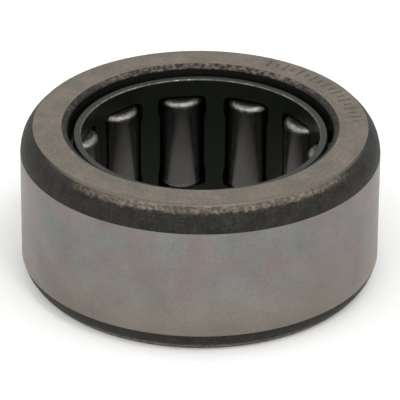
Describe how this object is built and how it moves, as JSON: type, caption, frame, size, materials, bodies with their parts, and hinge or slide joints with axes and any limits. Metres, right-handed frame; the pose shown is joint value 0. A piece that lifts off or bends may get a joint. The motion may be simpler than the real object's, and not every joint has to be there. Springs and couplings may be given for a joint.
{
  "type": "needle roller bearing",
  "caption": "Needle roller bearing without an inner ring: thick ribbed outer ring, pocketed cage and cylindrical rollers that run straight on a shaft.",
  "frame": {"origin": "on the bearing's axis, halfway between the two faces", "axes": "+Z along the bearing's axis, out of the face with the longer outside corner; +X and +Y across it"},
  "size_m": [0.027, 0.027, 0.012],
  "materials": {
    "ring_steel": "ground satin on the faces and outside, dark heat-treated skin on the corners",
    "cage_black": "smooth black oxide",
    "roller_steel": "finely ground and bright"
  },
  "bodies": {
    "ring": {"outer_ring": "ring_steel"},
    "cage": {"cage": "cage_black"},
    "roller_01": {"roller_01": "roller_steel"},
    "roller_02": {"roller_02": "roller_steel"},
    "roller_03": {"roller_03": "roller_steel"},
    "roller_04": {"roller_04": "roller_steel"},
    "roller_05": {"roller_05": "roller_steel"},
    "roller_06": {"roller_06": "roller_steel"},
    "roller_07": {"roller_07": "roller_steel"},
    "roller_08": {"roller_08": "roller_steel"},
    "roller_09": {"roller_09": "roller_steel"},
    "roller_10": {"roller_10": "roller_steel"},
    "roller_11": {"roller_11": "roller_steel"}
  },
  "joints": [
    {"name": "cage_spin", "type": "hinge", "parent": "ring", "child": "cage", "pos_m": [0, 0, 0], "axis": [0, 0, 1], "continuous": true},
    {"name": "roller_01_spin", "type": "hinge", "parent": "cage", "child": "roller_01", "pos_m": [-0.00158, 0.00962, 0], "axis": [0, 0, 1], "continuous": true},
    {"name": "roller_02_spin", "type": "hinge", "parent": "cage", "child": "roller_02", "pos_m": [-0.00653, 0.00724, 0], "axis": [0, 0, 1], "continuous": true},
    {"name": "roller_03_spin", "type": "hinge", "parent": "cage", "child": "roller_03", "pos_m": [-0.00941, 0.00256, 0], "axis": [0, 0, 1], "continuous": true},
    {"name": "roller_04_spin", "type": "hinge", "parent": "cage", "child": "roller_04", "pos_m": [-0.0093, -0.00293, 0], "axis": [0, 0, 1], "continuous": true},
    {"name": "roller_05_spin", "type": "hinge", "parent": "cage", "child": "roller_05", "pos_m": [-0.00624, -0.00749, 0], "axis": [0, 0, 1], "continuous": true},
    {"name": "roller_06_spin", "type": "hinge", "parent": "cage", "child": "roller_06", "pos_m": [-0.0012, -0.00968, 0], "axis": [0, 0, 1], "continuous": true},
    {"name": "roller_07_spin", "type": "hinge", "parent": "cage", "child": "roller_07", "pos_m": [0.00422, -0.00879, 0], "axis": [0, 0, 1], "continuous": true},
    {"name": "roller_08_spin", "type": "hinge", "parent": "cage", "child": "roller_08", "pos_m": [0.0083, -0.00511, 0], "axis": [0, 0, 1], "continuous": true},
    {"name": "roller_09_spin", "type": "hinge", "parent": "cage", "child": "roller_09", "pos_m": [0.00975, 0.00019, 0], "axis": [0, 0, 1], "continuous": true},
    {"name": "roller_10_spin", "type": "hinge", "parent": "cage", "child": "roller_10", "pos_m": [0.0081, 0.00543, 0], "axis": [0, 0, 1], "continuous": true},
    {"name": "roller_11_spin", "type": "hinge", "parent": "cage", "child": "roller_11", "pos_m": [0.00388, 0.00895, 0], "axis": [0, 0, 1], "continuous": true}
  ],
  "couplings": [
    {"joint": "roller_01_spin", "follows": "cage_spin", "ratio": -6.5829},
    {"joint": "roller_02_spin", "follows": "cage_spin", "ratio": -6.5829},
    {"joint": "roller_03_spin", "follows": "cage_spin", "ratio": -6.5829},
    {"joint": "roller_04_spin", "follows": "cage_spin", "ratio": -6.5829},
    {"joint": "roller_05_spin", "follows": "cage_spin", "ratio": -6.5829},
    {"joint": "roller_06_spin", "follows": "cage_spin", "ratio": -6.5829},
    {"joint": "roller_07_spin", "follows": "cage_spin", "ratio": -6.5829},
    {"joint": "roller_08_spin", "follows": "cage_spin", "ratio": -6.5829},
    {"joint": "roller_09_spin", "follows": "cage_spin", "ratio": -6.5829},
    {"joint": "roller_10_spin", "follows": "cage_spin", "ratio": -6.5829},
    {"joint": "roller_11_spin", "follows": "cage_spin", "ratio": -6.5829}
  ]
}
